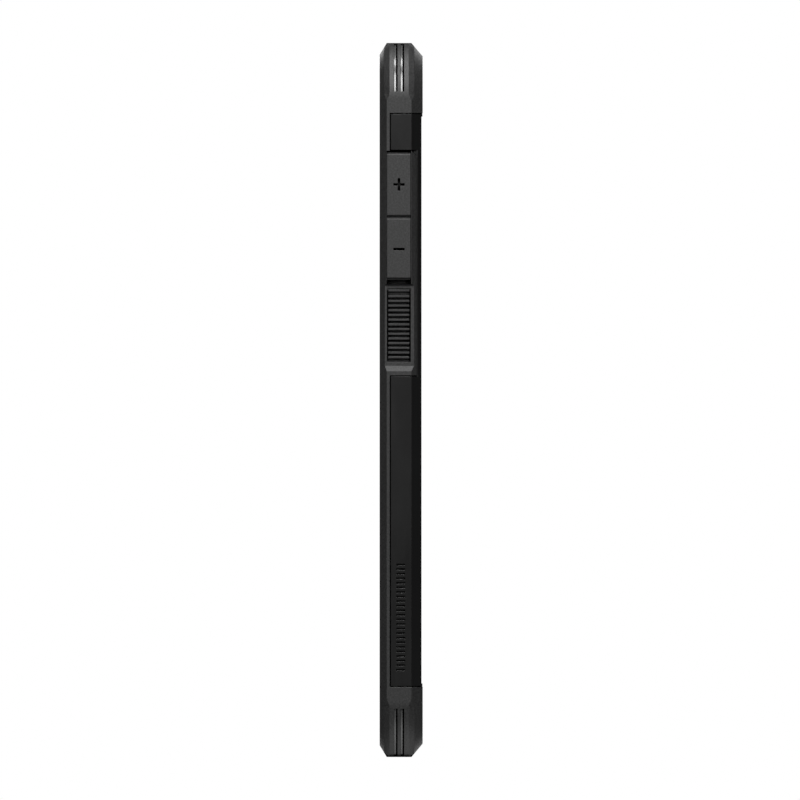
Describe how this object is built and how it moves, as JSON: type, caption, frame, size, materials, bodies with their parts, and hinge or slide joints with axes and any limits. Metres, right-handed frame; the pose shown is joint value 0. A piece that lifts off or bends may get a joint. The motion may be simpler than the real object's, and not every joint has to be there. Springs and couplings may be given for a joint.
{
  "type": "phone case",
  "caption": "Rugged two-layer phone case with slotted soft corners, hard back, side key covers and a fold-out stand.",
  "frame": {"origin": "middle of the face that the phone's back rests on", "axes": "+Z towards the phone's top edge, +Y out of the case's back, -Y out of the open screen side, +X towards the keys"},
  "size_m": [0.0834, 0.01, 0.166],
  "materials": {
    "soft_black": "matte, fine grain",
    "hard_black": "smooth satin",
    "foam_black": "fine open foam",
    "stand_black": "satin coating",
    "pin_steel": "drawn wire",
    "insert_grey": "polished, dark grey"
  },
  "bodies": {
    "case": {"soft_inner_body": "soft_black", "hard_outer_shell": "hard_black", "impact_foam_liner": "foam_black", "kickstand_pin": "pin_steel", "corner_insert_top_right": "insert_grey", "corner_insert_bottom_right": "insert_grey", "corner_insert_top_left": "insert_grey", "corner_insert_bottom_left": "insert_grey"},
    "volume_up": {"volume_up_key": "soft_black"},
    "volume_down": {"volume_down_key": "soft_black"},
    "power": {"power_key": "soft_black"},
    "stand": {"kickstand_leg": "stand_black"}
  },
  "joints": [
    {"name": "volume_up_press", "type": "slide", "parent": "case", "child": "volume_up", "axis": [-1, 0, 0], "range_m": [0, 0.0004], "stiffness_N_per_m": 6000},
    {"name": "volume_down_press", "type": "slide", "parent": "case", "child": "volume_down", "axis": [-1, 0, 0], "range_m": [0, 0.0004], "stiffness_N_per_m": 6000},
    {"name": "power_press", "type": "slide", "parent": "case", "child": "power", "axis": [-1, 0, 0], "range_m": [0, 0.0004], "stiffness_N_per_m": 6000},
    {"name": "stand_swing", "type": "hinge", "parent": "case", "child": "stand", "pos_m": [0.002, 0.00195, -0.036], "axis": [0, 0, -1], "range_deg": [0, 60]}
  ]
}
